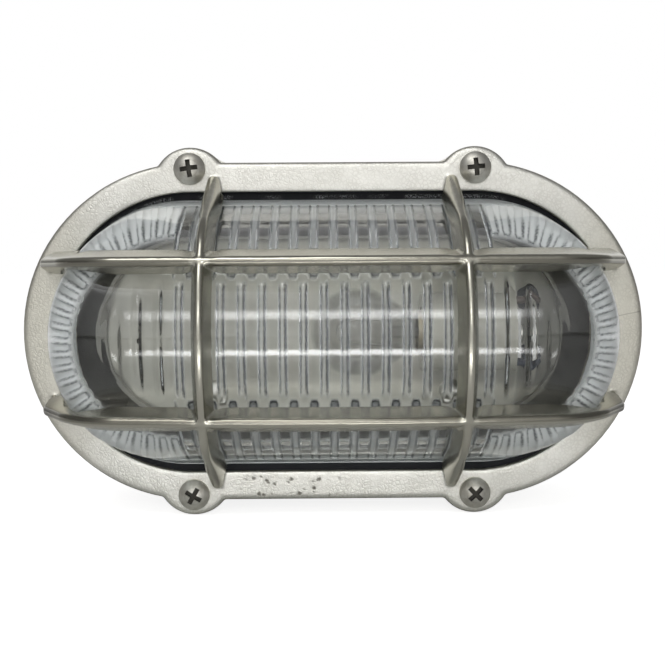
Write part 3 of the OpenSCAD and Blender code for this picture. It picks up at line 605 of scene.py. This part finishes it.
def ribbed(reach, height):
    """Moves the wall inwards by its ribs, square to the section."""
    along_r = np.gradient(reach, axis=0)
    along_h = np.gradient(height, axis=0)
    length = np.maximum(np.hypot(along_r, along_h), tiny)
    depth = rib_height * rib_share(along_run(reach), out_y * reach)
    drawn_in = np.maximum(reach - depth * along_h / length, 0.0)
    drawn_in[-1] = 0.0
    return drawn_in, height + depth * along_r / length


def placed(reach, height):
    return np.stack([along_run(reach), -flange_front - height, out_y * reach], axis=2)


smooth_r, smooth_h = even_rows(inner_rows, wall)
painted_glow, rib_line = rib_marks(smooth_r)
inner = placed(*ribbed(smooth_r, smooth_h))[::-1]
outer = placed(*even_rows(outer_rows, 0.0))
foot_rows = [oval_row(collar_inner_r, glass_run, flange_front),
             oval_row(collar_inner_r, glass_run, foot_back),
             oval_row(foot_r, end_centre, foot_back),
             oval_row(foot_r, end_centre, foot_front),
             oval_row(collar_r, glass_run, foot_front),
             oval_row(collar_r, glass_run, flange_front)]
glowing_foot_rows = 3
rings = np.concatenate([inner, np.stack(foot_rows), outer])
row_count, column_count = rings.shape[:2]
glass_shape = bmesh.new()
bmesh.ops.create_grid(glass_shape, x_segments=row_count - 1, y_segments=column_count, size=1.0)
glow_layer = glass_shape.verts.layers.float.new("painted_glow")
rib_shade_layer = glass_shape.verts.layers.float.new("rib_line")
for vert in glass_shape.verts:
    row = round((vert.co.x + 1) / 2 * (row_count - 1))
    column = round((vert.co.y + 1) / 2 * column_count) % column_count
    vert.co = rings[row, column]
    if row < inner_rows:
        vert[glow_layer] = painted_glow[inner_rows - 1 - row, column]
        vert[rib_shade_layer] = rib_line[inner_rows - 1 - row, column]
    # Painted glow over the inner collar and the underside of the foot.
    elif row < inner_rows + glowing_foot_rows:
        vert[glow_layer] = 1.0
bmesh.ops.remove_doubles(glass_shape, verts=glass_shape.verts, dist=0.01 * MM)
bmesh.ops.recalc_face_normals(glass_shape, faces=glass_shape.faces)
pressed_glass = clear_glass("pressed_glass", tone(0.97, 0.985, 0.985), 0.05 * MM, 0.015, rimmed=True)
new_piece("glass_dome", glass_shape, pressed_glass, "glass", crease=50)


# Guard casting: the oval flange with its four lugs and the crossed bars of the cage, cast in one piece
# and nickel plated. Fettling and plating have rounded every edge and filled the inner corners. Its level
# bars are a little fuller towards a round nose, its upright bars at their feet. Four screws hold it.
skin_voxel = 0.33 * MM
rounding_passes = 16
rounding_share = 0.5
most_triangles = 185000
bar_half = 4.8 * MM
fuller = 0.2
nose_r = 0.8 * MM
nose_most = 1 * MM
foot_half = 9 * MM
foot_fuller = 0.75 * MM
normal_rounds = 2


def settled(piece):
    """Turns a piece's modifiers into its mesh."""
    bpy.context.view_layer.update()
    mesh = bpy.data.meshes.new_from_object(piece.evaluated_get(bpy.context.evaluated_depsgraph_get()))
    piece.modifiers.clear()
    piece.data = mesh
    mesh.shade_smooth()


def vertex_rows(mesh, kind):
    values = np.empty(3 * len(mesh.vertices))
    mesh.vertices.foreach_get(kind, values)
    return values.reshape(-1, 3)


guard = new_piece("guard_casting", merged_copy("guard"), nickel, "guard")
skin = guard.modifiers.new("skin", "REMESH")
skin.mode = "VOXEL"
skin.voxel_size = skin_voxel
soften = guard.modifiers.new("soften", "SMOOTH")
soften.factor = rounding_share
soften.iterations = rounding_passes
settled(guard)
fewer = guard.modifiers.new("fewer", "DECIMATE")
fewer.ratio = min(1.0, most_triangles / (2 * len(guard.data.polygons)))
settled(guard)
spots = vertex_rows(guard.data, "co")
facing = vertex_rows(guard.data, "normal")
over = -spots[:, 1] - flange_front
from_bar = np.abs(spots[:, 2]) - level_z
from_upright = np.abs(np.abs(spots[:, 0]) - upright_x)
share = ease(over, 2 * MM, 6 * MM) * ease(bar_half - np.abs(from_bar), 0.0, 0.8 * MM)
share = share * ease(from_upright, 3 * MM, 6 * MM)
at_nose = ease(over, 8 * MM, 20 * MM) * share
at_foot = ease(over, 0.6 * MM, 3 * MM) * (1 - ease(over, 16 * MM, 30 * MM))
at_foot = at_foot * ease(np.abs(spots[:, 2]), 33 * MM, 38 * MM) * (from_upright < foot_half)
spots[:, 2] += np.sign(spots[:, 2]) * from_bar * fuller * share
spots[:, 1] += at_nose * np.minimum(from_bar ** 2 / (2 * nose_r), nose_most)
spots += facing * (foot_fuller * at_foot)[:, None]
guard.data.vertices.foreach_set("co", spots.ravel())
guard.data.update()
pairs = np.empty(2 * len(guard.data.edges), dtype=np.int32)
guard.data.edges.foreach_get("vertices", pairs)
first, second = pairs.reshape(-1, 2).T
for _ in range(normal_rounds):
    blend = facing.copy()
    np.add.at(blend, first, facing[second])
    np.add.at(blend, second, facing[first])
    facing = blend / np.linalg.norm(blend, axis=1)[:, None]
guard.data.normals_split_custom_set_from_vertices(facing.tolist())


# Guard screws: four cross-recessed pan-head screws in the lugs, turned steel with bright nickel plate
# that has dulled a little, and painted shade at the bottom of the recess.
screw_x = end_centre
screw_z = flange_end_r - 2.1 * MM
cross_r = 2.7 * MM
screw_low, screw_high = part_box("guard_screws")
head_front = -screw_low.y


def screw_nickel(name):
    material, wire, place = new_finish(name)
    x, y, z = place.axes()
    aside = x.size() - screw_x
    above = z.size() - screw_z
    from_screw = (aside * aside + above * above).power(0.5)
    # Painted shade at the bottom of the cross recess.
    recess_shade = 1.0 - (0.0 - y).step(head_front - 1.3 * MM, head_front - 0.35 * MM)
    recess_shade = recess_shade * (1.0 - from_screw.step(cross_r, cross_r + 0.4 * MM))
    cloud = place.noise(2.2 * MM, 3.0, 0.6)
    scratch = place.noise(0.25 * MM, 3.0, 0.7)
    shade = cloud.step(0.35, 0.7).mix(tone(0.68, 0.665, 0.61), tone(0.56, 0.54, 0.48))
    shade = (recess_shade * 0.9).mix(shade, tone(0.04, 0.037, 0.03))
    close_finish(wire, wire.node("BsdfPrincipled", Base_Color=shade, Metallic=1.0,
                                 Roughness=0.4 + 0.14 * cloud + 0.2 * recess_shade, Normal=scratch.bump(0.012 * MM)))
    return material


dress(screw_nickel("dulled_nickel"), "guard_screws")


# Studio: a plain pale floor under the light and a white surround that is dimmer in front of it. A long
# soft strip hangs far in front and above, another stands just over the floor close in front, and a large
# soft panel hangs overhead. The camera sees none of the three.
seen_kinds = ("Is Camera Ray", "Is Glossy Ray", "Is Transmission Ray")
floor_half = 12.0
floor_z = solid_box[0][2] - 0.3 * MM
floor_glow = 0.84
front_level = 0.68
least_level = 0.17
floor_shape = bmesh.new()
bmesh.ops.create_grid(floor_shape, x_segments=1, y_segments=1, size=floor_half)
floor_mesh = bpy.data.meshes.new("floor")
floor_shape.to_mesh(floor_mesh)
floor_shape.free()
floor_mesh.transform(Matrix.Translation((0, 0, floor_z)))
floor = bpy.data.objects.new("floor", floor_mesh)
bpy.context.scene.collection.objects.link(floor)
floor_finish, wire, place = new_finish("pale_floor")
camera_ray, glossy_ray, through_ray = ray_kinds(wire, *seen_kinds)
behind = place.axes()[1].step(0.0, 0.5)
seen = camera_ray.top(glossy_ray.top(through_ray) * behind)
paint = wire.node("BsdfDiffuse", Color=tone(0.8, 0.8, 0.8))
glow = wire.node("Emission", Color=tone(1.0, 1.0, 1.0), Strength=floor_glow)
glowing = wire.node("AddShader", Shader=paint, Shader_001=glow)
close_finish(wire, wire.node("MixShader", Fac=seen, Shader=paint, Shader_001=glowing))
floor_mesh.materials.append(floor_finish)

world = bpy.data.worlds.new("surround")
world.use_nodes = True
world.node_tree.nodes.clear()
bpy.context.scene.world = world
wire = Wire(world.node_tree)
side, back, up = wire.node("TexCoord", out="Generated").axes()
camera_ray, glossy_ray, through_ray = ray_kinds(wire, *seen_kinds)
seen = camera_ray.top(glossy_ray * back.step(0.6, 0.85)).top(through_ray * back.step(-0.3, 0.1))
ahead = (0.0 - 0.99 * back + 0.14 * up).step(0.45, 0.99)
narrow = 1.0 - 0.35 * side.size().step(0.1, 0.5)
level = seen.top(least_level + front_level * ahead * narrow)
wire.node("OutputWorld", Surface=wire.node("Background", Color=level, Strength=1.0))


def soft_panel(name, place, target, size_x, size_y, radiance):
    """A lamp that is brightest in its middle and fades to its edges."""
    lamp = bpy.data.lights.new(name, "AREA")
    lamp.shape = "RECTANGLE"
    lamp.size = size_x
    lamp.size_y = size_y
    lamp.energy = radiance * math.pi * size_x * size_y
    lamp.use_nodes = True
    lamp.node_tree.nodes.clear()
    wire = Wire(lamp.node_tree)
    u, v, _ = wire.node("NewGeometry", out="Parametric").axes()
    fade = (4.0 * v * (1.0 - v)).power(1.5) * (4.0 * u * (1.0 - u)).power(0.5)
    wire.node("OutputLight", Surface=wire.node("Emission", Color=fade * 2.0, Strength=1.0))
    panel = bpy.data.objects.new(name, lamp)
    panel.location = place
    panel.rotation_euler = (Vector(target) - Vector(place)).to_track_quat("-Z", "Y").to_euler()
    panel.visible_camera = False
    bpy.context.scene.collection.objects.link(panel)


cage_middle = (0.0, -0.08, 0.0)
soft_panel("strip_high", (0.0, -1.3, 0.445), cage_middle, 0.7, 0.26, 2.9)
soft_panel("strip_low", (0.0, -0.236, -0.046), cage_middle, 0.20, 0.022, 5.2)
soft_panel("overhead", (-0.3, -0.8, 1.2), cage_middle, 1.0, 1.0, 2.2)


# Camera: at the photograph's angle, a little above the middle and close, so that the cage spreads. Its
# lens is the photograph's focal length in pixels, brought to the width of the film.
photo_width = 665
focal_pixels = 1058.5
film_width = 36.0
camera_place = (-2.65 * MM, -384.0 * MM, 21.5 * MM)
swing = -0.0068
tip_down = -0.062
roll = -0.0066
camera_data = bpy.data.cameras.new("camera")
camera_data.sensor_fit = "HORIZONTAL"
camera_data.sensor_width = film_width
camera_data.lens = focal_pixels / photo_width * film_width
camera = bpy.data.objects.new("camera", camera_data)
aim = Matrix.Rotation(swing, 3, "Y") @ Matrix.Rotation(tip_down, 3, "X") @ Matrix.Rotation(roll, 3, "Z")
upright = Matrix.Rotation(math.pi / 2, 3, "X")
camera.matrix_world = Matrix.Translation(camera_place) @ (upright @ aim).to_4x4()
bpy.context.scene.collection.objects.link(camera)
bpy.context.scene.camera = camera
bpy.context.scene.view_settings.view_transform = "Standard"
